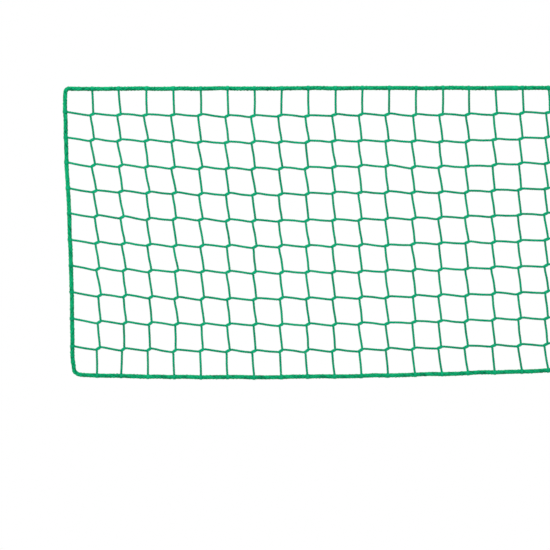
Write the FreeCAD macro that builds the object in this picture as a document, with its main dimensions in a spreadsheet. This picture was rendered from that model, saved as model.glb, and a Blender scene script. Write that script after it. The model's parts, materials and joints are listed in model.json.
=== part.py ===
import FreeCAD, Part

import math
import os

import Sketcher
from FreeCAD import Placement, Rotation, Vector

# A knotless cargo net, hanging in the XZ plane with its face towards -Y.
# The origin is the middle of the top rope's centre line, X runs along that rope and +Z is up.
#
# Upright twines lie in the plane of the border rope, Y = 0. Cross twines lie just in front of them.
# Every crossing is a short link at 45 degrees, which both twines follow side by side, so each
# twine is a shallow zigzag. Three fold lines cut the net into four bands, and each fold line is a
# hinge along X: the piece above it ends in a half ball centred on the line, and the piece below
# it starts just clear of that ball.

# ---- Sizes, in mm ----

SIZES = {
    "columns": 22,  # meshes from side to side
    "rows": 11,  # meshes from top to bottom
    "mesh_wide": 45.0,  # from one upright twine to the next
    "mesh_high": 45.0,  # from one cross twine to the next
    "twine_dia": 3.0,
    "link_length": 8.0,  # length of the slanting link at a crossing
    "crossing_gap": 0.1,  # between the two twines of a crossing
    "rope_dia": 7.5,
    "corner_radius": 12.0,  # of the border rope's centre line
    "fold_gap": 0.5,  # between the two sides of a fold line
    "lashing_thick": 1.0,  # the wraps of yarn that bind a leg of twine to the rope
    "lashing_length": 4.0,
    "lashing_gap": 0.1,  # between the lashing and the rope
    "leg_gap": 0.4,  # between the lashing and the end of its leg of twine
    "whipping_column": 16,  # the whipping that joins the rope's ends lies right of this upright
    "whipping_margin": 2.5,  # from the whipping to the lashing on either side of it
}

# Cross twines in each band, counted from the top rope, and the fold lines between the bands.
BANDS = (("top", 1, 2), ("upper", 3, 5), ("lower", 6, 8), ("bottom", 9, 10))

doc = FreeCAD.newDocument("cargo_net")
sheet = doc.addObject("Spreadsheet::Sheet", "Sizes")
for row, (alias, value) in enumerate(SIZES.items(), start=1):
    sheet.set("A%d" % row, alias)
    sheet.set("B%d" % row, str(value))
    sheet.setAlias("B%d" % row, alias)
doc.recompute()


class Size:
    """A length or a number that knows its value and the spreadsheet formula that gives it."""

    def __init__(self, value, formula):
        self.value = value
        self.formula = formula

    def join(self, other, sign, value):
        text = other.formula if isinstance(other, Size) else repr(other)
        return Size(value, "(%s %s %s)" % (self.formula, sign, text))

    def __add__(self, other):
        return self.join(other, "+", self.value + number(other))

    def __sub__(self, other):
        return self.join(other, "-", self.value - number(other))

    def __mul__(self, other):
        return self.join(other, "*", self.value * number(other))

    def __truediv__(self, other):
        return self.join(other, "/", self.value / number(other))

    def __neg__(self):
        return Size(-self.value, "(-%s)" % self.formula)


def number(size):
    return size.value if isinstance(size, Size) else size


def cell(alias):
    return Size(SIZES[alias], "Sizes." + alias)


NOTHING = Size(0, "0")
COLUMNS = SIZES["columns"]
ROWS = SIZES["rows"]

mesh_wide = cell("mesh_wide")
mesh_high = cell("mesh_high")
net_wide = mesh_wide * cell("columns")
net_high = mesh_high * cell("rows")
twine_radius = cell("twine_dia") / 2
rope_radius = cell("rope_dia") / 2
corner = cell("corner_radius")

# Half of a link's reach along X, and along Z: a link runs from (-link, -link) to (+link, +link).
link = cell("link_length") / 2 * math.sqrt(0.5)
# How far a leg moves sideways for each millimetre along it.
cross_slope = link / (mesh_wide / 2 - link)
upright_slope = link / (mesh_high / 2 - link)
upright_tilt = Size(math.degrees(math.atan(upright_slope.value)), "atan%s" % upright_slope.formula)
cross_tilt = Size(math.degrees(math.atan(cross_slope.value)), "atan%s" % cross_slope.formula)

cross_plane = -(cell("twine_dia") + cell("crossing_gap"))
lashing_inside = rope_radius + cell("lashing_gap")
lashing_outside = lashing_inside + cell("lashing_thick")
# A leg of twine stops this far from the border rope's centre line.
leg_stop = lashing_outside + cell("leg_gap")


# ---- Helpers ----


def bind(thing, prop, size):
    thing.setExpression(prop, size.formula)


def new_body(name, x=NOTHING, y=NOTHING, z=NOTHING):
    """A body called name, whose frame stands at x, y, z."""
    body = doc.addObject("PartDesign::Body", name)
    body.Label = name
    body.AllowCompound = True
    for axis, size in zip("xyz", (x, y, z)):
        bind(body, "Placement.Base." + axis, size)
    return body


def origin_feature(body, role):
    return next(f for f in body.Origin.OriginFeatures if f.Role == role)


def attach(thing, body, plane, x=NOTHING, y=NOTHING, z=NOTHING, turn_axis=None, turn=NOTHING):
    """Put a sketch or a primitive on one of the body's planes, offset in that plane's own frame."""
    thing.AttachmentSupport = [(origin_feature(body, plane), "")]
    thing.MapMode = "FlatFace"
    if turn_axis:
        offset = Placement(Vector(0, 0, 0), Rotation(turn_axis, turn.value))
        thing.AttachmentOffset = offset
        bind(thing, "AttachmentOffset.Rotation.Angle", turn)
    for axis, size in zip("xyz", (x, y, z)):
        bind(thing, "AttachmentOffset.Base." + axis, size)


def new_sketch(body, name, plane, **offsets):
    sketch = body.newObject("Sketcher::SketchObject", "%s_%s" % (body.Name, name))
    attach(sketch, body, plane, **offsets)
    return sketch


def constrain(sketch, kind, *places_and_size):
    """Add a constraint. A Size at the end becomes a dimension that follows the spreadsheet."""
    *places, size = places_and_size
    if isinstance(size, Size):
        index = sketch.addConstraint(Sketcher.Constraint(kind, *places, size.value))
        bind(sketch, "Constraints[%d]" % index, size)
    else:
        sketch.addConstraint(Sketcher.Constraint(kind, *places, size))


ORIGIN_POINT = (-1, 1)
START, END, CENTRE = 1, 2, 3


def pin_point(sketch, line, end, place):
    """Hold one end of a line at a place given by two sizes."""
    for kind, size in zip(("DistanceX", "DistanceY"), place):
        constrain(sketch, kind, *ORIGIN_POINT, line, end, size)


def add_line(sketch, first, last):
    points = [Vector(p[0].value, p[1].value, 0) for p in (first, last)]
    return sketch.addGeometry(Part.LineSegment(*points))


def zigzag(body, places):
    """The centre line of a twine: straight runs through the places, in the body's XZ plane."""
    sketch = new_sketch(body, "path", "XZ_Plane")
    lines = [add_line(sketch, a, b) for a, b in zip(places, places[1:])]
    for line, place in zip(lines, places):
        pin_point(sketch, line, START, place)
    pin_point(sketch, lines[-1], END, places[-1])
    for a, b in zip(lines, lines[1:]):
        constrain(sketch, "Coincident", a, END, b, START)
    return sketch


def circle(sketch, radius):
    ring = sketch.addGeometry(Part.Circle(Vector(0, 0, 0), Vector(0, 0, 1), radius.value))
    constrain(sketch, "Coincident", ring, CENTRE, *ORIGIN_POINT)
    constrain(sketch, "Radius", ring, radius)


def sweep(body, profile, path, transition):
    pipe = body.newObject("PartDesign::AdditivePipe", body.Name + "_pipe")
    pipe.Profile = profile
    pipe.Spine = path
    pipe.Transition = transition
    body.Tip = pipe
    return pipe


def half_ball(body, name, radius, x, z, tilt=NOTHING):
    """The rounded end that a piece has on a fold line, below the point x, z of the body's XZ plane."""
    ball = body.newObject("PartDesign::AdditiveSphere", "%s_%s" % (body.Name, name))
    attach(ball, body, "XY_Plane", x=x, z=z, turn_axis=Vector(0, 1, 0), turn=-tilt)
    bind(ball, "Radius", radius)
    ball.Angle1 = -90
    ball.Angle2 = 0
    body.Tip = ball
    return ball


def repeat(body, features, axis, spacing, count):
    """Repeat these features of the body along one of its axes."""
    pattern = body.newObject("PartDesign::LinearPattern", body.Name + "_pattern")
    pattern.Originals = features
    pattern.Direction = (origin_feature(body, axis), [""])
    pattern.Mode = "Spacing"
    bind(pattern, "Offset", spacing)
    pattern.Occurrences = count
    body.Tip = pattern


# ---- Twines ----


def cross_twine(row):
    """One twine from the left rope to the right rope, zigzag through every crossing of its row."""
    body = new_body("cross_twine_%02d" % row, -net_wide / 2, cross_plane, -mesh_high * row)
    rise = (mesh_wide / 2 - leg_stop) * cross_slope
    places = [(leg_stop, rise)]
    for column in range(1, COLUMNS):
        x = mesh_wide * column
        places += [(x - link, -link), (x + link, link)]
    places.append((net_wide - leg_stop, -rise))
    path = zigzag(body, places)
    profile = new_sketch(
        body, "section", "YZ_Plane", y=rise, z=leg_stop, turn_axis=Vector(1, 0, 0), turn=cross_tilt
    )
    circle(profile, twine_radius)
    sweep(body, profile, path, "Right corner")


def upright_twines(band, first_row, last_row):
    """The stretch of every upright twine that lies in one band, as one solid for each column."""
    body = new_body("upright_twines_" + band, -net_wide / 2 + mesh_wide)
    if first_row == 1:
        top = -leg_stop
        lean = (mesh_high / 2 + top) * -upright_slope
    else:
        below_fold = twine_radius + cell("fold_gap")
        top = -mesh_high * (first_row - 0.5) - below_fold
        lean = below_fold * upright_slope
    places = [(lean, top)]
    for row in range(first_row, last_row + 1):
        z = -mesh_high * row
        places += [(link, z + link), (-link, z - link)]
    if last_row == ROWS - 1:
        lean = (mesh_high / 2 - leg_stop) * upright_slope
        places.append((lean, -net_high + leg_stop))
    else:
        places.append((NOTHING, -mesh_high * (last_row + 0.5)))
    path = zigzag(body, places)
    start_x, start_z = places[0]
    profile = new_sketch(
        body, "section", "XY_Plane", x=start_x, z=start_z, turn_axis=Vector(0, 1, 0), turn=-upright_tilt
    )
    circle(profile, twine_radius)
    features = [sweep(body, profile, path, "Right corner")]
    if last_row < ROWS - 1:
        features.append(half_ball(body, "end", twine_radius, *places[-1], upright_tilt))
    repeat(body, features, "X_Axis", mesh_wide, COLUMNS - 1)


# ---- Border rope ----


def end_rope(name, edge, side_end):
    """The rope along the top or the bottom edge, with both corners and the start of both sides.

    edge is the height of the rope's centre line, side_end the height at which its sides stop.
    """
    body = new_body(name)
    upward = number(side_end) > number(edge)
    bend = edge + corner if upward else edge - corner
    half = net_wide / 2
    sketch = new_sketch(body, "path", "XZ_Plane")
    runs = (
        ((-half, side_end), (-half, bend)),
        ((-half + corner, edge), (half - corner, edge)),
        ((half, bend), (half, side_end)),
    )
    lines = []
    for first, last in runs:
        lines.append(add_line(sketch, first, last))
        pin_point(sketch, lines[-1], START, first)
        pin_point(sketch, lines[-1], END, last)
    left, middle, right = lines
    # Each corner is a quarter turn, listed anticlockwise: its centre, first angle, and both ends.
    if upward:
        corners = (
            (-half + corner, 180, (left, END), (middle, START)),
            (half - corner, 270, (middle, END), (right, START)),
        )
    else:
        corners = (
            (-half + corner, 90, (middle, START), (left, END)),
            (half - corner, 0, (right, START), (middle, END)),
        )
    for centre_x, angle, first, last in corners:
        ring = Part.Circle(Vector(centre_x.value, bend.value, 0), Vector(0, 0, 1), corner.value)
        turn = Part.ArcOfCircle(ring, math.radians(angle), math.radians(angle + 90))
        arc = sketch.addGeometry(turn)
        sketch.addConstraint(Sketcher.Constraint("Tangent", arc, START, *first))
        sketch.addConstraint(Sketcher.Constraint("Coincident", arc, END, *last))
    profile = new_sketch(body, "section", "XY_Plane", x=-half, z=side_end)
    circle(profile, rope_radius)
    sweep(body, profile, sketch, "Transformed")
    if not upward:
        half_ball(body, "left_end", rope_radius, -half, side_end)
        half_ball(body, "right_end", rope_radius, half, side_end)


def side_rope(name, x, first_row, last_row):
    """A straight stretch of the side rope, from one fold line to the next."""
    body = new_body(name, x)
    below_fold = rope_radius + cell("fold_gap")
    top = -mesh_high * (first_row - 0.5) - below_fold
    bottom = -mesh_high * (last_row + 0.5)
    section = new_sketch(body, "section", "XY_Plane", z=bottom)
    circle(section, rope_radius)
    pad = body.newObject("PartDesign::Pad", body.Name + "_pad")
    pad.Profile = section
    bind(pad, "Length", top - bottom)
    half_ball(body, "end", rope_radius, NOTHING, bottom)


# ---- Lashings ----


def sleeve(name, plane, x, z, length):
    """A sleeve of wrapped yarn round the rope, centred on x, z."""
    body = new_body(name, x, NOTHING, z)
    section = new_sketch(body, "section", plane, z=-length / 2)
    circle(section, lashing_outside)
    circle(section, lashing_inside)
    pad = body.newObject("PartDesign::Pad", body.Name + "_pad")
    pad.Profile = section
    bind(pad, "Length", length)
    body.Tip = pad
    return body, pad


def end_lashings(name, x, z):
    """The lashings of all upright twines to the top or the bottom rope, the first one at x, z."""
    body, pad = sleeve(name, "YZ_Plane", x, z, cell("lashing_length"))
    repeat(body, [pad], "X_Axis", mesh_wide, COLUMNS - 1)


def side_lashings(name, x, z, count):
    """The lashings of one band's cross twines to a side rope, the lowest one at x, z."""
    body, pad = sleeve(name, "XY_Plane", x, z, cell("lashing_length"))
    repeat(body, [pad], "Z_Axis", mesh_high, count)


# ---- The net ----

for row in range(1, ROWS):
    cross_twine(row)

for band, first_row, last_row in BANDS:
    upright_twines(band, first_row, last_row)

fold_below_top = -mesh_high * (BANDS[0][2] + 0.5)
fold_above_bottom = -mesh_high * (BANDS[-1][1] - 0.5)
end_rope("edge_rope_top", NOTHING, fold_below_top)
end_rope("edge_rope_bottom", -net_high, fold_above_bottom - (rope_radius + cell("fold_gap")))
sides = (("left", -net_wide / 2), ("right", net_wide / 2))
for band, first_row, last_row in BANDS[1:-1]:
    for side, x in sides:
        side_rope("edge_rope_%s_%s" % (side, band), x, first_row, last_row)

# A leg meets the rope off its own line, because it keeps its slope up to the rope.
upright_shift = (mesh_high / 2 - leg_stop) * upright_slope
cross_shift = (mesh_wide / 2 - leg_stop) * cross_slope
first_column = -net_wide / 2 + mesh_wide
end_lashings("lashings_top", first_column - upright_shift, NOTHING)
end_lashings("lashings_bottom", first_column + upright_shift, -net_high)
for band, first_row, last_row in BANDS:
    for (side, x), shift in zip(sides, (cross_shift, -cross_shift)):
        lowest = -mesh_high * last_row + shift
        side_lashings("lashings_%s_%s" % (side, band), x, lowest, last_row - first_row + 1)

whipping_x = first_column - upright_shift + mesh_wide * (cell("whipping_column") - 0.5)
whipping_length = mesh_wide - cell("lashing_length") - cell("whipping_margin") * 2
sleeve("rope_whipping", "YZ_Plane", whipping_x, NOTHING, whipping_length)

# ---- Check and write ----

doc.recompute()
for thing in doc.Objects:
    if "Invalid" in thing.State or "Error" in thing.State:
        raise RuntimeError("%s failed: %s" % (thing.Name, thing.State))

os.makedirs("parts", exist_ok=True)
for body in doc.findObjects("PartDesign::Body"):
    shape = body.Shape
    if shape.isNull() or not shape.isValid() or not shape.Solids:
        raise RuntimeError(body.Label + " has no valid solid")
    shape.exportStep("parts/%s.step" % body.Label)
    print("%-28s %2d solids %9.0f mm3" % (body.Label, len(shape.Solids), shape.Volume))
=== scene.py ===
# %% [markdown]
# # A knotless cargo net
#
# The object is a net of thin green twine in a border of thicker rope. It hangs from its top rope.
# The frame holds its design: where each twine and rope runs, and the fold lines across it. This
# notebook makes what is seen of it: plaited twine, braided rope, and the yarn that binds them.
#
# A twine could be one smooth tube with a plait drawn on it by its material. From near by that looks
# like coated wire, so here every yarn is a tube of its own, and the outline is a plait's too.

# %% Load the frame
import json
import math
import random

import bmesh
import bpy
import numpy as np
from mathutils import Matrix, Vector

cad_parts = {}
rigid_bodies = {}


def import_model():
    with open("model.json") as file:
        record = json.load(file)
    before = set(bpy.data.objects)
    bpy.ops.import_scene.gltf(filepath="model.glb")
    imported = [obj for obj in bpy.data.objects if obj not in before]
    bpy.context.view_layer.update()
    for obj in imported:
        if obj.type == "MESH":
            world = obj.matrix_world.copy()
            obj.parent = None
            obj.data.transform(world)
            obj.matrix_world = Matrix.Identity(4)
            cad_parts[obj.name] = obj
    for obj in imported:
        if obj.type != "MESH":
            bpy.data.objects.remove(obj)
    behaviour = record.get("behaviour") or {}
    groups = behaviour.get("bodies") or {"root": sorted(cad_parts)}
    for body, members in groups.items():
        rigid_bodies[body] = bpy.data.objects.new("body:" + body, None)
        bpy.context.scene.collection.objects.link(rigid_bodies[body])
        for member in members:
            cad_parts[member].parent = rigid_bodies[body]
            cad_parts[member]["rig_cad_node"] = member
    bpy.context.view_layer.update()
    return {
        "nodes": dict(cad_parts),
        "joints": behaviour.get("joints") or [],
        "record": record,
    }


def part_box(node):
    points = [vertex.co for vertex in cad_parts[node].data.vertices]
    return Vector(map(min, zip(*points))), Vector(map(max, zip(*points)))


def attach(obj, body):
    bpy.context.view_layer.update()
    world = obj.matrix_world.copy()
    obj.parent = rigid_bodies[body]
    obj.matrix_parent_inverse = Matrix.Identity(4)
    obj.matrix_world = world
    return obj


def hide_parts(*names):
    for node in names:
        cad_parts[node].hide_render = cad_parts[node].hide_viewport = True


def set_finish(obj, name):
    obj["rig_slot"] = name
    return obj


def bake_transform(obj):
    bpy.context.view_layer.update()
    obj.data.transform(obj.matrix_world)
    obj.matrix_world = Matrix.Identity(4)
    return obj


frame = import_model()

MM = 0.001
rng = random.Random(7)

# %% [markdown]
# ## Sizes, read from the frame
#
# A real net is made to a mesh size: so many meshes across and down, all of one width. These sizes
# could be typed in again here, but then the two models could drift apart. So every place comes from
# the frame: the rows are counted from the cross twines, the mesh is measured between them, and the
# border rope gives the width. The bands and the fold lines between them are read from it as well.

# %% Measure the net
COLUMNS = 22
ROWS = 1 + sum(name.startswith("cross_twine_") for name in frame["nodes"])


def middle(node):
    low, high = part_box(node)
    return (low + high) / 2


mesh_high = middle("cross_twine_01").z - middle("cross_twine_02").z
left_x = middle("edge_rope_left_upper").x
right_x = middle("edge_rope_right_upper").x
mesh_wide = (right_x - left_x) / COLUMNS
net_high = mesh_high * ROWS
low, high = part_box("edge_rope_left_upper")
rope_radius = (high.x - low.x) / 2
print("meshes", COLUMNS, "by", ROWS, "of", round(mesh_wide, 4), "by", round(mesh_high, 4))

# %% Read the fold lines
# The cross twines of each band, as (body, first row, last row), from the top band down.
bodies = frame["record"]["behaviour"]["bodies"]
bands = []
for body, nodes in bodies.items():
    rows = [int(name[-2:]) for name in nodes if name.startswith("cross_twine_")]
    bands.append((body, min(rows), max(rows)))
bands.sort(key=lambda band: band[1])
folds = [(joint["name"], joint["parent"], joint["child"], joint["pos_m"][2]) for joint in frame["joints"]]
print("bands", bands, "folds", folds)

# %% [markdown]
# ## How a real net hangs
#
# Nothing soft is truly square. The middle of each row sags between the points that hold the net, the
# left edge leans inwards towards the bottom, and the meshes near the top are stretched sideways.
# A cloth simulation could find such a shape, but it needs the real weights and ties, and it is slow
# on so many yarns. One smooth function that gives the drift of every place does as well, and twines,
# rope and lashings all follow it together.

# %% Sizes of the drift
# The width that sags, from the left side.
SWAY_WIDE = 18 * mesh_wide
# The sag: how much, how soon below the top rope, how lopsided, and how much less at the bottom.
SAG = 10.8 * MM
SAG_DEPTH = 2 * mesh_high
SAG_SKEW = 0.85
SAG_EASE = 0.3
# The lift of the right side, in all rows and more towards the bottom.
LIFT = 1.5 * MM
LIFT_LOW = 5 * MM
# The rise of the rows, the most at one depth and less above and below it.
RISE = 4.2 * MM
RISE_DEPTH = 7.2 * mesh_high
RISE_BEND = 7.5 * MM / (6.2 * mesh_high) ** 2
# One shallow wave along the upper rows, mostly right of the middle.
WAVE = 2.4 * MM
WAVE_START = 9 * mesh_wide
WAVE_LONG = 7.5 * mesh_wide
WAVE_DEPTH = 5.5 * mesh_high
# The stretch to both sides, more near the top.
SPREAD = 3.4 * MM
SPREAD_REACH = 8 * mesh_wide
SPREAD_TOP = 4.4 * MM
SPREAD_DEPTH = 200 * MM
# The lean of the left side: how much, where it starts, and how far into the net it reaches. It
# reaches less far in the lowest part of the net.
LEAN = 8 * MM
LEAN_INSIDE = 0.3
LEAN_START = 2 * mesh_high
LEAN_DEPTH = 7.5 * mesh_high
LEAN_REACH = 170 * MM
LEAN_REACH_LOW = 45 * MM
LEAN_LOW_FROM = 0.75
print("the sag is", round(SAG / MM, 1), "mm and the lean", round(LEAN / MM, 1), "mm")

# %% The drift of every place


def smooth(share):
    share = max(0.0, min(1.0, share))
    return share * share * (3 - 2 * share)


def drift(x, depth):
    """Where a place of the square net really lies, x across and depth below the top rope."""
    inward = max(x - left_x, 0)
    across = min(inward / SWAY_WIDE, 1)
    down = max(depth, 0) / net_high
    # Almost 0 over the upper half of the net, and 1 at its bottom edge.
    lowest = down**4
    hollow = (1 - math.exp(-max(depth, 0) / SAG_DEPTH)) * (1 - SAG_EASE * lowest)
    sag = SAG * hollow * math.sin(math.pi * across**SAG_SKEW)
    lift = across * (LIFT + LIFT_LOW * lowest)
    rise = RISE - RISE_BEND * (RISE_DEPTH - depth) ** 2
    along_wave = max(0, min((inward - WAVE_START) / WAVE_LONG, 1))
    wave = WAVE * math.sin(math.tau * along_wave) * math.sin(math.pi * min(depth / WAVE_DEPTH, 1))
    side = min((inward - SWAY_WIDE / 2) / SPREAD_REACH, 1)
    spread = side * (SPREAD + SPREAD_TOP * max(0, 1 - depth / SPREAD_DEPTH))
    shorter = smooth((down - LEAN_LOW_FROM) / (1 - LEAN_LOW_FROM))
    reach = LEAN_REACH + (LEAN_REACH_LOW - LEAN_REACH) * shorter
    lean = LEAN * smooth((depth - LEAN_START) / LEAN_DEPTH) / (1 + (inward / reach) ** 2)
    lean *= 1 + LEAN_INSIDE * min(inward / mesh_wide, 1)
    return Vector((x + spread + lean, 0, -depth + rise - sag + lift + wave))


lower_left = drift(left_x, net_high)
print("the lower left corner drifts", round((lower_left.x - left_x) / MM, 1), "mm to the right")

# %% [markdown]
# ## Crossings
#
# Where an upright and a cross twine meet there is no knot. They run side by side along a short link
# that slants, and every link slants the same way. The same link could be set at every crossing, but
# a perfect grid looks printed. So each crossing gets a small shift and turn of its own, from a seeded
# generator, which gives the same net on every run.

# %% Place every crossing
LINK_LENGTH = 6.6 * MM
LINK_ANGLE = math.radians(40)
LINK_STEEPER_DOWN = math.radians(12)
LINK_FLATTER_ACROSS = math.radians(8)
# How far down and how far across a link has LINK_ANGLE itself, as shares of the net.
PLAIN_DOWN = 0.55
PLAIN_ACROSS = 0.5
NODE_JITTER = 0.9 * MM
TURN_JITTER = math.radians(7)
LENGTH_JITTER = 0.12
crossings = {}
for row in range(1, ROWS):
    for column in range(1, COLUMNS):
        place = drift(left_x + column * mesh_wide, row * mesh_high)
        place.x += rng.uniform(-NODE_JITTER, NODE_JITTER)
        place.z += rng.uniform(-NODE_JITTER, NODE_JITTER)
        steeper = LINK_STEEPER_DOWN * (row / ROWS - PLAIN_DOWN)
        flatter = LINK_FLATTER_ACROSS * (min(column * mesh_wide / SWAY_WIDE, 1) - PLAIN_ACROSS)
        angle = LINK_ANGLE + steeper - flatter + rng.uniform(-TURN_JITTER, TURN_JITTER)
        reach = LINK_LENGTH / 2 * rng.uniform(1 - LENGTH_JITTER, 1 + LENGTH_JITTER)
        crossings[row, column] = place, Vector((math.cos(angle), 0, math.sin(angle))) * reach
print(len(crossings), "crossings")

# %% [markdown]
# ## Routes
#
# A real twine bends softly and never in a sharp corner. A smooth curve through a few points at each
# crossing has that bend. Its points could be worked out by formula, but Blender's own NURBS curve
# gives them. They are then spaced evenly, so a plait laid along them keeps its stitch length on
# straight legs and in bends alike.

# %% Turn control points into an even route
CURVE_STEPS = 10


def nurbs_points(controls):
    """Points along a smooth curve, read from Blender's own NURBS."""
    data = bpy.data.curves.new("route", "CURVE")
    data.dimensions = "3D"
    spline = data.splines.new("NURBS")
    spline.points.add(len(controls) - 1)
    for point, place in zip(spline.points, controls):
        point.co = (*place, 1)
    spline.order_u = 3
    spline.use_endpoint_u = True
    spline.resolution_u = CURVE_STEPS
    holder = bpy.data.objects.new("route", data)
    mesh = bpy.data.meshes.new_from_object(holder)
    points = np.array([v.co for v in mesh.vertices])
    bpy.data.meshes.remove(mesh)
    bpy.data.objects.remove(holder)
    bpy.data.curves.remove(data)
    return points


def even_route(controls, step):
    """The same curve as evenly spaced points."""
    points = nurbs_points(controls)
    gaps = np.linalg.norm(np.diff(points, axis=0), axis=1)
    along = np.concatenate([[0], np.cumsum(gaps)])
    places = np.linspace(0, along[-1], round(along[-1] / step) + 1)
    return np.stack([np.interp(places, along, points[:, i]) for i in range(3)], axis=1)


bend = even_route([(0, 0, 0), (mesh_wide, 0, 0), (mesh_wide, 0, mesh_wide)], MM)
print("a route along two sides of a mesh has", len(bend), "points, about 1 mm apart")

# %% Find the ways sideways and out


def cross_axes(route):
    """For each point of a route in the hanging net: the way sideways, and the way out of the net."""
    ahead = np.gradient(route, axis=0)
    ahead /= np.linalg.norm(ahead, axis=1)[:, None]
    sideways = np.cross(ahead, (0, 1, 0))
    sideways /= np.linalg.norm(sideways, axis=1)[:, None]
    return sideways, np.cross(sideways, ahead)


print("where that route starts, sideways is", cross_axes(bend)[0][0].round(2))

# %% [markdown]
# ## From route to plait
#
# Net twine of this kind is plaited from a few flat bundles of filament. A stitch could be modelled
# once and repeated with an Array and a Curve modifier, but then the stitches of two twines would not
# fit where they meet. Two sine waves for each yarn give the plait directly: one swings the yarn from
# side to side, and one dips it behind the others twice as often. The plait is wider in a link, where
# the yarns of two twines share the room.

# %% Plait
STEP = 0.9 * MM
PLAIT_LENGTH = 8.5 * MM
YARNS = 3
YARN_RADIUS = 0.98 * MM
# How much thicker a yarn is in a link, and the length over which it changes.
LINK_YARN = 1.09
LINK_EASE = 0.36 * LINK_LENGTH
# How far the yarns swing sideways and dip, in a leg and in a link.
SWING = 1.14 * MM, 1.85 * MM
DIP = 0.55 * MM, 0.8 * MM


def tightness(route, marks):
    """1 where the twine is in a link, falling smoothly to 0 at the ends of the link."""
    index = np.arange(len(route))
    away = np.min([abs(index - mark) for mark in marks], axis=0) * STEP
    share = np.clip(2 - away / LINK_EASE, 0, 1)
    return share * share * (3 - 2 * share)


def plait(route, marks, start, way):
    """The lines of three yarns plaited along a route that is in the middle of a link at each mark.

    The plait has a whole number of stitches from mark to mark. start is its phase at every mark and
    way its handedness, so that two twines which share a link fit between each other's yarns.
    """
    sideways, outward = cross_axes(route)
    spots = [0, *marks, len(route) - 1]
    turns = np.diff(spots) * STEP / PLAIT_LENGTH
    turns[1:-1] = np.round(turns[1:-1])
    turn = np.interp(np.arange(len(route)), spots, np.concatenate([[0], np.cumsum(turns)]) - turns[0])
    tight = tightness(route, marks)
    swing = SWING[0] + (SWING[1] - SWING[0]) * tight
    dip = DIP[0] + (DIP[1] - DIP[0]) * tight
    lines = []
    for yarn in range(YARNS):
        phase = (turn + yarn / YARNS) * math.tau + start
        across = (swing * np.sin(phase))[:, None] * sideways
        out = (way * dip * np.sin(2 * phase))[:, None] * outward
        lines.append(route + across + out)
    return lines


print("a leg of", YARNS, "yarns is", round(2 * (SWING[0] + YARN_RADIUS) / MM, 1), "mm across")

# %% [markdown]
# ## From route to braid
#
# A braided rope has strands that wind round it both ways and pass over and under each other. A bump
# in the material could show them, but its outline would stay smooth. So each strand is a helix whose
# radius grows where it passes over and shrinks where it passes under. Strands of a real rope never
# lie quite evenly either, so each one stands a little proud here and there.

# %% Braid
STRANDS_EACH_WAY = 6
STRAND_RADIUS = 1.15 * MM
BRAID_LENGTH = 34 * MM
BRAID_DEPTH = 0.38 * MM
BRAID_STANDS_OUT = 0.2 * MM
BRAID_RADIUS = rope_radius + BRAID_STANDS_OUT - STRAND_RADIUS - BRAID_DEPTH
LOOSENESS = 0.35 * MM
LOOSE_EVERY = 7 * MM


def looseness(count):
    """How far a strand stands proud of the braid at each of count points: a little, unevenly."""
    knots = round(count * STEP / LOOSE_EVERY)
    heights = [rng.uniform(-LOOSENESS, LOOSENESS) for _ in range(knots)]
    return np.interp(np.arange(count), np.linspace(0, count - 1, knots), heights)


def braid(route):
    """The lines of twelve strands, six wound each way, that pass over and under each other."""
    sideways, outward = cross_axes(route)
    turn = np.arange(len(route)) * STEP / BRAID_LENGTH * math.tau
    lines = []
    for way in (1, -1):
        over = BRAID_RADIUS + way * BRAID_DEPTH * np.cos(STRANDS_EACH_WAY * turn)
        for strand in range(STRANDS_EACH_WAY):
            angle = way * turn + strand * math.tau / STRANDS_EACH_WAY
            radius = over + looseness(len(route))
            across = (radius * np.cos(angle))[:, None] * sideways
            out = (radius * np.sin(angle))[:, None] * outward
            lines.append(route + across + out)
    return lines


print("the rope has", 2 * STRANDS_EACH_WAY, "strands of", round(2 * STRAND_RADIUS / MM, 1), "mm")

# %% [markdown]
# ## From lines to tubes
#
# A yarn is a round bundle of filaments. A circle could be swept along its line by hand, but a curve
# with a round bevel makes the same tube with much less code. The mesh keeps three attributes for the
# finish: where each point lies in the straightened yarn, how tight the twine is there, and a shade
# of its own for each yarn.

# %% Give the tubes values for the finish
YARN_OFFSET = 0.37


def set_values(mesh, name, kind, key, values):
    attribute = mesh.attributes.new(name, kind, "POINT")
    attribute.data.foreach_set(key, np.asarray(values, np.float32).ravel())


def yarn_values(mesh, lines, radius, sides, tight):
    """Set, at each point, its place in the straightened yarn, its tightness and its yarn's shade."""
    around = np.arange(sides) * math.tau / sides
    ring = np.column_stack([np.zeros(sides), radius * np.cos(around), radius * np.sin(around)])
    in_yarn, tightnesses, shades = [], [], []
    for number, line in enumerate(lines):
        # Each yarn starts elsewhere in the pattern, so that no two show the same filaments.
        along = np.arange(len(line)) * STEP + YARN_OFFSET * number
        place = ring[None] + np.column_stack([along, np.zeros((len(line), 2))])[:, None]
        in_yarn.append(place.reshape(-1, 3))
        tightnesses.append(np.repeat(np.zeros(len(line)) if tight is None else tight[number], sides))
        shades.append(np.full(len(line) * sides, rng.random()))
    set_values(mesh, "in_yarn", "FLOAT_VECTOR", "vector", np.concatenate(in_yarn))
    set_values(mesh, "tight", "FLOAT", "value", np.concatenate(tightnesses))
    set_values(mesh, "shade", "FLOAT", "value", np.concatenate(shades))


print("each yarn starts", YARN_OFFSET, "m further on in the pattern of filaments")

# %% Turn lines into tubes
TUBE_SIDES = 6


def close_ends(mesh):
    """Fill the open end of each tube and turn every face outwards."""
    work = bmesh.new()
    work.from_mesh(mesh)
    bmesh.ops.holes_fill(work, edges=[e for e in work.edges if e.is_boundary], sides=0)
    bmesh.ops.recalc_face_normals(work, faces=work.faces)
    for face in work.faces:
        face.smooth = True
    work.to_mesh(mesh)
    work.free()


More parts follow.
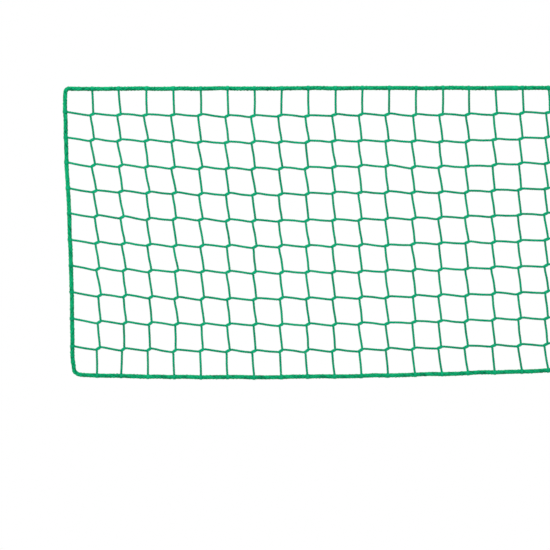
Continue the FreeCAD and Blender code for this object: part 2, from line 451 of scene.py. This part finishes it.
def tubes(name, lines, radius, tight=None):
    """One piece of round tubes along the lines. tight gives 0 to 1 for each point of each line."""
    data = bpy.data.curves.new(name, "CURVE")
    data.dimensions = "3D"
    data.bevel_depth = radius
    # A bevel has four sides, and two more for each step of its resolution.
    data.bevel_resolution = (TUBE_SIDES - 4) // 2
    for number, line in enumerate(lines):
        spline = data.splines.new("POLY")
        spline.points.add(len(line) - 1)
        spline.points.foreach_set("co", np.column_stack([line, np.ones(len(line))]).ravel())
        if tight is not None:
            spline.points.foreach_set("radius", 1 + (LINK_YARN - 1) * tight[number])
    holder = bpy.data.objects.new(name, data)
    mesh = bpy.data.meshes.new_from_object(holder)
    bpy.data.objects.remove(holder)
    bpy.data.curves.remove(data)
    yarn_values(mesh, lines, radius, TUBE_SIDES, tight)
    close_ends(mesh)
    piece = bpy.data.objects.new(name, mesh)
    bpy.context.scene.collection.objects.link(piece)
    return piece


print("each tube has", TUBE_SIDES, "sides, and a ring of points every", round(STEP / MM, 1), "mm")

# %% [markdown]
# ## Twines
#
# At a crossing the two twines run side by side along the link and turn half way round each other,
# one in front and one behind. A twine could run straight through, with the link as a piece of its
# own on top, but the eye finds that joint at once. So the route itself takes the turn: it comes in
# on one side of the link and leaves on the other, on eight control points.

# %% The way through a crossing
# How far the net lies from the plane of the rope, how far a twine keeps beside the middle of a link,
# and where the control points on a leg lie, from the end of the link.
NET_PLANE = -1.5 * MM
BESIDE = 0.9 * MM
BEFORE_LINK = 2.4 * MM
LEG_START = 8 * MM


def through(place, link, arrive, leave):
    """Control points for a twine that passes a crossing along its link, from one end to the other.

    arrive and leave are the directions towards the neighbours. The twine comes in on the left of the
    link, as seen from the front and along it, and leaves on its right.
    """
    beside = Vector((-link.z, 0, link.x)).normalized() * BESIDE
    depth = Vector((0, NET_PLANE, 0))
    first, last = place - link + depth, place + link + depth
    return [
        first + arrive * LEG_START,
        first + arrive * BEFORE_LINK,
        first + beside,
        place - link / 2 + depth + beside / 2,
        place + link / 2 + depth - beside / 2,
        last - beside,
        last + leave * BEFORE_LINK,
        last + leave * LEG_START,
    ]


one_way = through(*crossings[1, 1], Vector((-1, 0, 0)), Vector((1, 0, 0)))
print("the way through a crossing is", round((one_way[-1] - one_way[0]).length / MM, 1), "mm long")

# %% The route of a whole twine
STRAIGHTEN = 0.35
LEG_WAVE = 0.7 * MM


def leg_middle(a, b):
    """A point halfway along a leg, a little off the straight line."""
    wave = Vector([rng.uniform(-LEG_WAVE, LEG_WAVE) for _ in range(3)])
    return (a + b) / 2 + wave


def twine_route(start, stops, end):
    """A twine from one rope, through each (place, link), to the other rope.

    Returns its route and the index on it of the middle of each link.
    """
    ends = [start] + [p for place, link in stops for p in (place - link, place + link)] + [end]
    middles = [start] + [place for place, _ in stops] + [end]
    controls = [start]
    for number, (place, link) in enumerate(stops):
        # A leg leaves its link nearly in line with the whole twine, and then leans over.
        run = (middles[number + 2] - middles[number]).normalized() * STRAIGHTEN
        arrive = ((ends[2 * number] - ends[2 * number + 1]).normalized() - run).normalized()
        leave = ((ends[2 * number + 3] - ends[2 * number + 2]).normalized() + run).normalized()
        points = through(place, link, arrive, leave)
        controls.append(leg_middle(controls[-1], points[0]))
        controls += points
    controls += [leg_middle(controls[-1], end), end]
    route = even_route(controls, STEP)
    marks = [int(np.argmin(np.linalg.norm(route - np.array(place), axis=1))) for place, _ in stops]
    return route, marks


print("the middle of a leg lies up to", round(LEG_WAVE / MM, 1), "mm off a straight line, each way")

# %% Cross twines
INTO_ROPE = 2.2 * MM
SIDE_LEAN = 2.6 * MM
END_JITTER = 0.8 * MM
side_ends = {}


def rope_side(x, row, lean, inward):
    """The middle of the side rope where a cross twine meets it, and the end of the twine inside it."""
    spot = drift(x, row * mesh_high - lean + rng.uniform(-END_JITTER, END_JITTER))
    end = spot + Vector((inward * (rope_radius - INTO_ROPE), NET_PLANE, 0))
    return spot, end


for body, first_row, last_row in bands:
    for row in range(first_row, last_row + 1):
        stops = [crossings[row, column] for column in range(1, COLUMNS)]
        left_spot, start = rope_side(left_x, row, SIDE_LEAN, 1)
        right_spot, end = rope_side(right_x, row, -SIDE_LEAN, -1)
        side_ends[row] = left_spot, right_spot
        route, marks = twine_route(start, stops, end)
        tight = tightness(route, marks)
        name = "cross_twine_%02d" % row
        lines = plait(route, marks, 0, 1)
        twine = tubes("plaited_" + name, lines, YARN_RADIUS, [tight] * YARNS)
        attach(twine, body)
        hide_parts(name)
        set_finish(twine, "twine")
print("cross twines", ROWS - 1, "and the last has", len(twine.data.polygons), "faces")

# %% [markdown]
# ## Upright twines across the fold lines
#
# An upright twine runs over all four bands. One piece that bends at all three fold lines would suit
# it best, but a piece can bend between two bodies only. So each twine is cut in the middle of a link,
# where the cut hides between the two twines. The stretches inside a band ride on it, and the stretch
# of leg that crosses a fold line is a piece of its own that is attached to neither band.

# %% Routes of the upright twines
TOP_BOW = 2.8 * MM
BOTTOM_LEAN = 2.5 * MM
# The phase that sets the yarns of an upright twine between those of a cross twine.
BETWEEN_YARNS = math.tau / 12
end_spots = {"top": [], "bottom": []}


def upright_routes():
    """For each column: the yarns, their tightness and the index of the link middle of each row."""
    for column in range(1, COLUMNS):
        x = left_x + column * mesh_wide
        stops = [crossings[row, column] for row in range(1, ROWS)]
        wobble = rng.uniform(-END_JITTER, END_JITTER)
        across = min((x - left_x) / SWAY_WIDE, 1)
        top = drift(x + TOP_BOW * math.sin(math.pi * across) + wobble, 0)
        # The lowest legs lean a little to the left near the left side, and to the right further on.
        bottom = drift(x + BOTTOM_LEAN * (2 * across - 0.5) + wobble, net_high)
        end_spots["top"].append(top)
        end_spots["bottom"].append(bottom)
        inset = Vector((0, 0, rope_radius - INTO_ROPE))
        depth = Vector((0, NET_PLANE, 0))
        # The route runs down, so each link is passed from its upper end to its lower end.
        downward = [(place, -link) for place, link in stops]
        route, marks = twine_route(top - inset + depth, downward, bottom + inset + depth)
        lines = plait(route, marks, BETWEEN_YARNS, -1)
        yield lines, tightness(route, marks), [0, *marks, len(route) - 1]


uprights = list(upright_routes())
print(len(uprights), "upright twines, the first", round(len(uprights[0][1]) * STEP, 3), "m long")

# %% Stretches from band to band
# Each stretch: its name, the rows it runs between, and the body that carries it or the two bodies
# beside its fold line.
stretches = []
for number, (body, first_row, last_row) in enumerate(bands):
    start_row = 0 if number == 0 else first_row
    end_row = ROWS if number == len(bands) - 1 else last_row
    stretches.append((body.replace("_band", ""), start_row, end_row, (body,)))
    if end_row < ROWS:
        stretches.append((folds[number][0], end_row, end_row + 1, (body, folds[number][2])))


def carry(piece, carriers):
    """Ride on one body. A piece between two bodies only has its transform baked into its mesh."""
    if len(carriers) == 1:
        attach(piece, carriers[0])
        return
    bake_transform(piece)


print("stretches", [(name, start_row, end_row) for name, start_row, end_row, _ in stretches])

# %% Upright twines
for name, start_row, end_row, carriers in stretches:
    lines, tight = [], []
    for yarns, tightness_there, middles in uprights:
        cut = slice(middles[start_row], middles[end_row] + 1)
        lines += [line[cut] for line in yarns]
        tight += [tightness_there[cut]] * YARNS
    twines = tubes("plaited_uprights_" + name, lines, YARN_RADIUS, tight)
    carry(twines, carriers)
    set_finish(twines, "twine")
    if len(carriers) == 1:
        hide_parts("upright_twines_" + name)
    print(twines.name, len(twines.data.polygons), "faces")

# %% [markdown]
# ## Border rope
#
# One rope runs all the way round, and its two ends are bound together at the top. Four separate ropes
# would be simpler, but their braids would not meet at the corners. So the braid is laid on a single
# closed route and then cut. Each cut lies under a lashing. The stretches between fold lines ride on
# their band, and those across a fold line are pieces of their own, attached to neither band.

# %% The rope's route
ROPE_RIPPLE = 0.7 * MM
CORNER_RADIUS = 12 * MM
# Distances from a corner, in corner radii: where the straight stretches end, where the lower end of a
# side rope ends, and the points that turn the upper and the lower corners.
STRAIGHT_END = 1.2
SIDE_END = 2.5
UPPER_CORNER = ((0.55, 0), (0.18, 0.18), (0, 0.55))
LOWER_CORNER = ((0.1, 1.8), (0.2, 0.95), (0.3, 0.42), (0.72, 0.04))


def rope_controls():
    """Points round the border, anticlockwise from the middle of the top, as (x, depth)."""
    spacing = mesh_wide / 2
    turn = CORNER_RADIUS
    wide, high = right_x - left_x, net_high
    straight_x = np.linspace(0, wide / 2 - turn * STRAIGHT_END, round(wide / 2 / spacing))
    straight_z = np.linspace(turn * STRAIGHT_END, high - turn * STRAIGHT_END, round(high / spacing))
    points = [(-x, 0) for x in straight_x]
    points += [(-wide / 2 + a * turn, b * turn) for a, b in UPPER_CORNER]
    points += [(-wide / 2, depth) for depth in straight_z if depth < high - turn * SIDE_END]
    points += [(-wide / 2 + a * turn, high - b * turn) for a, b in LOWER_CORNER]
    points += [(-x, high) for x in straight_x[::-1]]
    # The right half mirrors the left one, back to the middle of the top.
    points += [(-x, depth) for x, depth in points[-2::-1]]
    return points


controls = []
for x, depth in rope_controls():
    place = drift(x, depth)
    place += Vector([rng.uniform(-ROPE_RIPPLE, ROPE_RIPPLE) for _ in range(3)])
    controls.append(place)
controls[-1] = controls[0]
rope = even_route(controls, STEP)
strands = braid(rope)
print("border rope", round(len(rope) * STEP, 3), "m round")

# %% Cut the rope


def nearest(spot):
    return int(np.argmin(np.linalg.norm(rope - np.array(spot), axis=1)))


def rope_piece(name, carriers, start, stop, nodes):
    """The rope from one index of its route to another, which may pass the end of the route."""
    if start <= stop:
        order = np.arange(start, stop + 1)
    else:
        order = np.concatenate([np.arange(start, len(rope)), np.arange(1, stop + 1)])
    piece = tubes("braided_rope_" + name, [s[order] for s in strands], STRAND_RADIUS)
    carry(piece, carriers)
    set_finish(piece, "rope")
    if nodes:
        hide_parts(*nodes)
    print(piece.name, len(piece.data.polygons), "faces")


print("the lower left corner is at point", nearest(lower_left), "of", len(rope), "of the rope")

# %% Lay the rope on the bands
left_at = {row: nearest(side_ends[row][0]) for row in side_ends}
right_at = {row: nearest(side_ends[row][1]) for row in side_ends}
for name, start_row, end_row, carriers in stretches:
    if start_row == 0:
        rope_piece(name, carriers, right_at[end_row], left_at[end_row], ["edge_rope_top"])
    elif end_row == ROWS:
        rope_piece(name, carriers, left_at[start_row], right_at[start_row], ["edge_rope_bottom"])
    else:
        whole = len(carriers) == 1
        sides = (
            ("left", left_at[start_row], left_at[end_row]),
            ("right", right_at[end_row], right_at[start_row]),
        )
        for side, start, stop in sides:
            nodes = ["edge_rope_%s_%s" % (side, name)] if whole else []
            rope_piece("%s_%s" % (side, name), carriers, start, stop, nodes)

# %% [markdown]
# ## Lashings
#
# Where a leg of twine reaches the border it is bound to the rope with a few turns of thin yarn. A
# plain sleeve would hide the joint too, but it catches the light as one hard band. So each lashing is
# a coil, spun from a small ring with `bmesh.ops.spin`, whose `dvec` moves the ring on a little at each
# step. The whipping over the two ends of the rope is a longer coil of the same yarn.

# %% Spin a coil
LASHING_YARN = 0.45 * MM
LASHING_RADIUS = rope_radius + 0.3 * MM
COIL_SIDES = 6
COIL_STEPS = 14


def coil(work, place, ahead, turns, pitch):
    """Add a coil of yarn to a bmesh, centred on place and wound round the direction ahead."""
    ring = bmesh.ops.create_circle(work, segments=COIL_SIDES, radius=LASHING_YARN)["verts"]
    axis = Vector((0, 0, 1))
    bmesh.ops.rotate(work, verts=ring, cent=(0, 0, 0), matrix=Matrix.Rotation(math.pi / 2, 3, "X"))
    bmesh.ops.translate(work, verts=ring, vec=(LASHING_RADIUS, 0, -turns * pitch / 2))
    edges = list(dict.fromkeys(e for v in ring for e in v.link_edges))
    steps = round(turns * COIL_STEPS)
    made = bmesh.ops.spin(
        work, geom=ring + edges, cent=(0, 0, 0), axis=axis, dvec=axis * (turns * pitch / steps),
        angle=turns * math.tau, steps=steps,
    )
    # The coil is every point that can be reached from its last ring.
    last = [g for g in made["geom_last"] if isinstance(g, bmesh.types.BMVert)]
    verts, grow = set(last), set(last)
    while grow:
        grow = {e.other_vert(v) for v in grow for e in v.link_edges} - verts
        verts |= grow
    stand = axis.rotation_difference(Vector(ahead)).to_matrix().to_4x4()
    spin = Matrix.Rotation(rng.uniform(0, math.tau), 4, "Z")
    bmesh.ops.transform(work, matrix=Matrix.Translation(place) @ stand @ spin, verts=list(verts))


print("a coil has", COIL_STEPS, "steps a turn, and yarn", round(2 * LASHING_YARN / MM, 1), "mm thick")

# %% A piece of coils


def wound(name, spots, turns, pitch, body, node):
    """Make a piece of one coil at each (place, direction along the rope)."""
    work = bmesh.new()
    for place, ahead in spots:
        coil(work, place, ahead, turns, pitch)
    mesh = bpy.data.meshes.new(name)
    work.to_mesh(mesh)
    work.free()
    close_ends(mesh)
    piece = bpy.data.objects.new(name, mesh)
    bpy.context.scene.collection.objects.link(piece)
    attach(piece, body)
    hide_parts(node)
    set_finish(piece, "yarn")


def on_rope(spot):
    """The nearest place on the rope, and the rope's direction there."""
    index = min(max(nearest(spot), 1), len(rope) - 2)
    return Vector(rope[index]), Vector(rope[index + 1] - rope[index - 1]).normalized()


print("at the lower left corner the rope runs", [round(way, 2) for way in on_rope(lower_left)[1]])

# %% Bind every leg to the rope
LASHING_TURNS = 5
LASHING_PITCH = 0.88 * MM
top_body, bottom_body = bands[0][0], bands[-1][0]
for edge, body in (("top", top_body), ("bottom", bottom_body)):
    spots = [on_rope(spot) for spot in end_spots[edge]]
    node = "lashings_" + edge
    wound("wound_" + node, spots, LASHING_TURNS, LASHING_PITCH, body, node)
for body, first_row, last_row in bands:
    for number, side in enumerate(("left", "right")):
        spots = [on_rope(side_ends[row][number]) for row in range(first_row, last_row + 1)]
        node = "lashings_%s_%s" % (side, body.replace("_band", ""))
        wound("wound_" + node, spots, LASHING_TURNS, LASHING_PITCH, body, node)
print("lashings", 2 * (COLUMNS - 1) + 2 * (ROWS - 1))

# %% Whip the ends of the rope
low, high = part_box("rope_whipping")
whipping_turns = int((high.x - low.x) / (2 * LASHING_YARN))
place = on_rope(drift(middle("rope_whipping").x, 0))
wound("wound_whipping", [place], whipping_turns, 2 * LASHING_YARN, top_body, "rope_whipping")
print("a whipping of", whipping_turns, "turns")

# %% [markdown]
# ## Finishes
#
# The yarn is green polypropylene: bundles of fine, slightly shiny filaments. A picture of twine could
# be wrapped round each tube, but its stitches would not match those of the tubes. So the finish is
# built from nodes, and two effects are shared by all three finishes. *Filaments* draws fine lines
# along each yarn, in the yarn's own straightened coordinates, so they follow every bend. *Dye* varies
# the green from strand to strand and along it, and paints a lighter green on the links of the twine
# as a painted highlight.

# %% Helpers for node groups


def new_group(name, inputs, outputs):
    group = bpy.data.node_groups.new(name, "ShaderNodeTree")
    for kind, sockets in (("INPUT", inputs), ("OUTPUT", outputs)):
        for socket, socket_type, value in sockets:
            made = group.interface.new_socket(socket, in_out=kind, socket_type=socket_type)
            if value is not None:
                made.default_value = value
    return group, group.nodes.new("NodeGroupInput"), group.nodes.new("NodeGroupOutput")


def add(tree, kind, **settings):
    node = tree.nodes.new(kind)
    for key, value in settings.items():
        setattr(node, key, value)
    return node


print("node groups so far", len(bpy.data.node_groups))

# %% Filaments
# The middle part of the noise is spread over the whole mask, so that the lines have firm edges.
MASK_FROM = 0.35
MASK_TO = 0.65


def filaments_group():
    """Fine lines along the yarn: a height for the bump, and a mask for the colour and roughness.

    Lines is how many lie across a metre of yarn, and Length how many follow each other along it.
    """
    inputs = (("Lines", "NodeSocketFloat", 3000.0), ("Length", "NodeSocketFloat", 90.0))
    outputs = (("Height", "NodeSocketFloat", None), ("Mask", "NodeSocketFloat", None))
    group, given, out = new_group("filaments", inputs, outputs)
    link = group.links.new
    place = add(group, "ShaderNodeAttribute", attribute_name="in_yarn")
    scale = add(group, "ShaderNodeCombineXYZ")
    link(given.outputs["Length"], scale.inputs["X"])
    link(given.outputs["Lines"], scale.inputs["Y"])
    link(given.outputs["Lines"], scale.inputs["Z"])
    stretched = add(group, "ShaderNodeVectorMath", operation="MULTIPLY")
    link(place.outputs["Vector"], stretched.inputs[0])
    link(scale.outputs["Vector"], stretched.inputs[1])
    noise = add(group, "ShaderNodeTexNoise")
    noise.inputs["Scale"].default_value = 1.0
    noise.inputs["Detail"].default_value = 3.0
    link(stretched.outputs["Vector"], noise.inputs["Vector"])
    link(noise.outputs["Fac"], out.inputs["Height"])
    ramp = add(group, "ShaderNodeMapRange")
    ramp.inputs["From Min"].default_value = MASK_FROM
    ramp.inputs["From Max"].default_value = MASK_TO
    link(noise.outputs["Fac"], ramp.inputs["Value"])
    link(ramp.outputs["Result"], out.inputs["Mask"])
    return group


filaments = filaments_group()
print(filaments.name, "has", len(filaments.nodes), "nodes")

# %% Dye, with a painted highlight in the links
PATCHES_PER_METRE = 90.0
FILAMENT_SHARE = 0.4
# The sum of shade, patches and filaments that gives the dark green, and the one for the light green.
DARKEST = 0.5
LIGHTEST = 1.15
# The sockets of a Mix node that take its two colours, and the one that puts out their mix.
FIRST_COLOUR = 6
SECOND_COLOUR = 7
MIXED_COLOUR = 2


def dye_and_link_highlight_group():
    """The green of each place, by strand and along it, with a painted highlight where the twine is tight.
    """
    inputs = (
        ("Dark", "NodeSocketColor", None),
        ("Light", "NodeSocketColor", None),
        ("Tight", "NodeSocketColor", None),
        ("Filaments", "NodeSocketFloat", 0.5),
        ("Strands", "NodeSocketFloat", 0.35),
    )
    group, given, out = new_group("dye", inputs, (("Color", "NodeSocketColor", None),))
    link = group.links.new
    shade = add(group, "ShaderNodeAttribute", attribute_name="shade")
    tight = add(group, "ShaderNodeAttribute", attribute_name="tight")
    coords = add(group, "ShaderNodeTexCoord")
    patches = add(group, "ShaderNodeTexNoise")
    patches.inputs["Scale"].default_value = PATCHES_PER_METRE
    patches.inputs["Detail"].default_value = 2.0
    link(coords.outputs["Object"], patches.inputs["Vector"])
    total = add(group, "ShaderNodeMath", operation="MULTIPLY_ADD")
    link(shade.outputs["Fac"], total.inputs[0])
    link(given.outputs["Strands"], total.inputs[1])
    link(patches.outputs["Fac"], total.inputs[2])
    fine = add(group, "ShaderNodeMath", operation="MULTIPLY_ADD")
    link(given.outputs["Filaments"], fine.inputs[0])
    fine.inputs[1].default_value = FILAMENT_SHARE
    link(total.outputs["Value"], fine.inputs[2])
    spread = add(group, "ShaderNodeMapRange")
    spread.inputs["From Min"].default_value = DARKEST
    spread.inputs["From Max"].default_value = LIGHTEST
    link(fine.outputs["Value"], spread.inputs["Value"])
    green = add(group, "ShaderNodeMix", data_type="RGBA")
    link(spread.outputs["Result"], green.inputs["Factor"])
    link(given.outputs["Dark"], green.inputs[FIRST_COLOUR])
    link(given.outputs["Light"], green.inputs[SECOND_COLOUR])
    # Painted highlight: where the twine is tight, in its links, the green gives way to one lighter green.
    lit = add(group, "ShaderNodeMix", data_type="RGBA")
    link(tight.outputs["Fac"], lit.inputs["Factor"])
    link(green.outputs[MIXED_COLOUR], lit.inputs[FIRST_COLOUR])
    link(given.outputs["Tight"], lit.inputs[SECOND_COLOUR])
    link(lit.outputs[MIXED_COLOUR], out.inputs["Color"])
    return group


dye = dye_and_link_highlight_group()
print(dye.name, "has", len(dye.nodes), "nodes")

# %% [markdown]
# ## Twine, rope and lashing yarn
#
# All three are of one stuff, so instead of three materials made by hand, one function makes them, each
# with its own greens. Light that meets real filaments at a low angle comes back green, not white.
# A Principled BSDF gives a white sheen and highlight unless both have a green tint.

# %% A finish from the two groups
SHINE_GREEN = (0.1, 1.0, 0.6, 1)
SHEEN_GREEN = (0.02, 1.0, 0.55, 1)
RELIEF = 0.3 * MM
SMOOTHEST = 0.38
ROUGHEST = 0.6


def finish(name, dark, light, tight, lines, bump, strands):
    """Shiny filament yarn in one green; tight is a painted link highlight, strands how much strands
    differ.
    """
    material = bpy.data.materials.new(name)
    material.use_nodes = True
    tree = material.node_tree
    tree.nodes.clear()
    link = tree.links.new
    fine = add(tree, "ShaderNodeGroup", node_tree=filaments)
    fine.inputs["Lines"].default_value = lines
    green = add(tree, "ShaderNodeGroup", node_tree=dye)
    for key, colour in (("Dark", dark), ("Light", light), ("Tight", tight)):
        green.inputs[key].default_value = (*colour, 1)
    green.inputs["Strands"].default_value = strands
    link(fine.outputs["Mask"], green.inputs["Filaments"])
    relief = add(tree, "ShaderNodeBump")
    relief.inputs["Strength"].default_value = bump
    relief.inputs["Distance"].default_value = RELIEF
    link(fine.outputs["Height"], relief.inputs["Height"])
    gloss = add(tree, "ShaderNodeMapRange")
    gloss.inputs["To Min"].default_value = SMOOTHEST
    gloss.inputs["To Max"].default_value = ROUGHEST
    link(fine.outputs["Mask"], gloss.inputs["Value"])
    surface = add(tree, "ShaderNodeBsdfPrincipled")
    surface.inputs["Sheen Weight"].default_value = 0.6
    surface.inputs["Sheen Roughness"].default_value = 0.4
    surface.inputs["Sheen Tint"].default_value = SHEEN_GREEN
    surface.inputs["Specular IOR Level"].default_value = 0.12
    surface.inputs["Specular Tint"].default_value = SHINE_GREEN
    link(green.outputs["Color"], surface.inputs["Base Color"])
    link(gloss.outputs["Result"], surface.inputs["Roughness"])
    link(relief.outputs["Normal"], surface.inputs["Normal"])
    out = add(tree, "ShaderNodeOutputMaterial")
    link(surface.outputs["BSDF"], out.inputs["Surface"])
    return material


print("the roughness goes from", SMOOTHEST, "to", ROUGHEST)

# %% The three finishes
# The tight green is a painted highlight on the links. Only a twine has tight places, in its links, so
# rope and lashing yarn never show their tight green.
UNSEEN_LINK_HIGHLIGHT = (0.008, 0.450, 0.200)
by_slot = {
    "twine": finish(
        "twine_filament", dark=(0.003, 0.220, 0.105), light=(0.008, 0.390, 0.190),
        tight=(0.006, 0.400, 0.190), lines=5200, bump=0.9, strands=0.35,
    ),
    "rope": finish(
        "rope_filament", dark=(0.001, 0.090, 0.038), light=(0.005, 0.415, 0.170),
        tight=UNSEEN_LINK_HIGHLIGHT, lines=4200, bump=0.9, strands=0.7,
    ),
    "yarn": finish(
        "lashing_filament", dark=(0.004, 0.330, 0.145), light=(0.010, 0.520, 0.240),
        tight=UNSEEN_LINK_HIGHLIGHT, lines=6000, bump=0.8, strands=0.2,
    ),
}
print("finishes", [material.name for material in by_slot.values()])

# %% Give each piece its finish
slot_of_node = {part["node"]: part["material_slot"] for part in frame["record"]["subparts"]}
finished = 0
for piece in bpy.context.scene.objects:
    if piece.type != "MESH":
        continue
    node = piece.get("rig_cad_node")
    slot = slot_of_node[node] if node else piece.get("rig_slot")
    piece.data.materials.clear()
    piece.data.materials.append(by_slot[slot])
    finished += 1
print(finished, "meshes have their finish")

# %% [markdown]
# ## Floor, light and camera
#
# The net hangs in front of plain white, in soft light that comes from all round and a little more
# from above. A white wall behind it would catch its shadow, so the white is the world's own colour,
# which only the camera sees at full strength. The floor lies well below the net and fades out towards
# its edge, so that no rim shows in the other views. The camera is far away with a long lens, square to
# the net, so the meshes keep their shape from edge to edge.

# %% Floor
FLOOR_DROP = 0.5
FLOOR_RADIUS = 1.6
FLOOR_SIDES = 96
work = bmesh.new()
bmesh.ops.create_circle(work, cap_ends=True, segments=FLOOR_SIDES, radius=FLOOR_RADIUS)
bmesh.ops.translate(work, verts=work.verts, vec=(0, 0, -net_high - FLOOR_DROP))
floor_mesh = bpy.data.meshes.new("floor")
work.to_mesh(floor_mesh)
work.free()
floor = bpy.data.objects.new("floor", floor_mesh)
bpy.context.scene.collection.objects.link(floor)
print("the floor lies", FLOOR_DROP, "m below the net")

# %% Finish of the floor
FADE_FROM = FLOOR_RADIUS * 0.3
pale = bpy.data.materials.new("pale_floor")
pale.use_nodes = True
tree = pale.node_tree
paper = tree.nodes["Principled BSDF"]
paper.inputs["Base Color"].default_value = (0.87, 0.87, 0.87, 1)
paper.inputs["Roughness"].default_value = 0.8
coords = add(tree, "ShaderNodeTexCoord")
flat = add(tree, "ShaderNodeVectorMath", operation="MULTIPLY")
flat.inputs[1].default_value = (1, 1, 0)
radius = add(tree, "ShaderNodeVectorMath", operation="LENGTH")
fade = add(tree, "ShaderNodeMapRange", interpolation_type="SMOOTHSTEP")
fade.inputs["From Min"].default_value = FADE_FROM
fade.inputs["From Max"].default_value = FLOOR_RADIUS
fade.inputs["To Min"].default_value = 1.0
fade.inputs["To Max"].default_value = 0.0
tree.links.new(coords.outputs["Object"], flat.inputs[0])
tree.links.new(flat.outputs["Vector"], radius.inputs[0])
tree.links.new(radius.outputs["Value"], fade.inputs["Value"])
tree.links.new(fade.outputs["Result"], paper.inputs["Alpha"])
floor.data.materials.append(pale)
print("the floor fades out from", FADE_FROM, "m to", FLOOR_RADIUS, "m from its middle")

# %% World
ROOM_LIGHT = 0.62
world = bpy.data.worlds.new("white_room")
bpy.context.scene.world = world
world.use_nodes = True
tree = world.node_tree
tree.nodes.clear()
seen = add(tree, "ShaderNodeBackground")
seen.inputs["Color"].default_value = (1, 1, 1, 1)
seen.inputs["Strength"].default_value = 1.0
lighting = add(tree, "ShaderNodeBackground")
lighting.inputs["Color"].default_value = (1, 1, 1, 1)
lighting.inputs["Strength"].default_value = ROOM_LIGHT
path = add(tree, "ShaderNodeLightPath")
mix = add(tree, "ShaderNodeMixShader")
out = add(tree, "ShaderNodeOutputWorld")
tree.links.new(path.outputs["Is Camera Ray"], mix.inputs["Fac"])
tree.links.new(lighting.outputs["Background"], mix.inputs[1])
tree.links.new(seen.outputs["Background"], mix.inputs[2])
tree.links.new(mix.outputs["Shader"], out.inputs["Surface"])
bpy.context.scene.view_settings.view_transform = "Standard"
print("the room lights the net at", ROOM_LIGHT, "of the white that the camera sees")

# %% Key light
KEY_SIZE = 1.6
KEY_POWER = 105
key_place = Vector((-1.2, -2.0, 2.4))
towards_net = Vector((0, 0, -net_high / 2)) - key_place
key_data = bpy.data.lights.new("key", "AREA")
key_data.size = KEY_SIZE
key_data.energy = KEY_POWER
key = bpy.data.objects.new("key", key_data)
key.location = key_place
key.rotation_euler = towards_net.to_track_quat("-Z", "Y").to_euler()
bpy.context.scene.collection.objects.link(key)
print("the key light is", round(towards_net.length, 2), "m from the middle of the net")

# %% Camera
VIEW_WIDE = 0.9394
LENS = 200
SENSOR = 36
view_x = -0.1445
view_z = -0.324
camera_data = bpy.data.cameras.new("camera")
camera_data.lens = LENS
camera_data.sensor_width = SENSOR
camera = bpy.data.objects.new("camera", camera_data)
camera.location = (view_x, -VIEW_WIDE * LENS / SENSOR, view_z)
camera.rotation_euler = (math.pi / 2, 0, 0)
bpy.context.scene.collection.objects.link(camera)
bpy.context.scene.camera = camera
print("the camera sees", VIEW_WIDE, "m across from", round(-camera.location.y, 2), "m away")
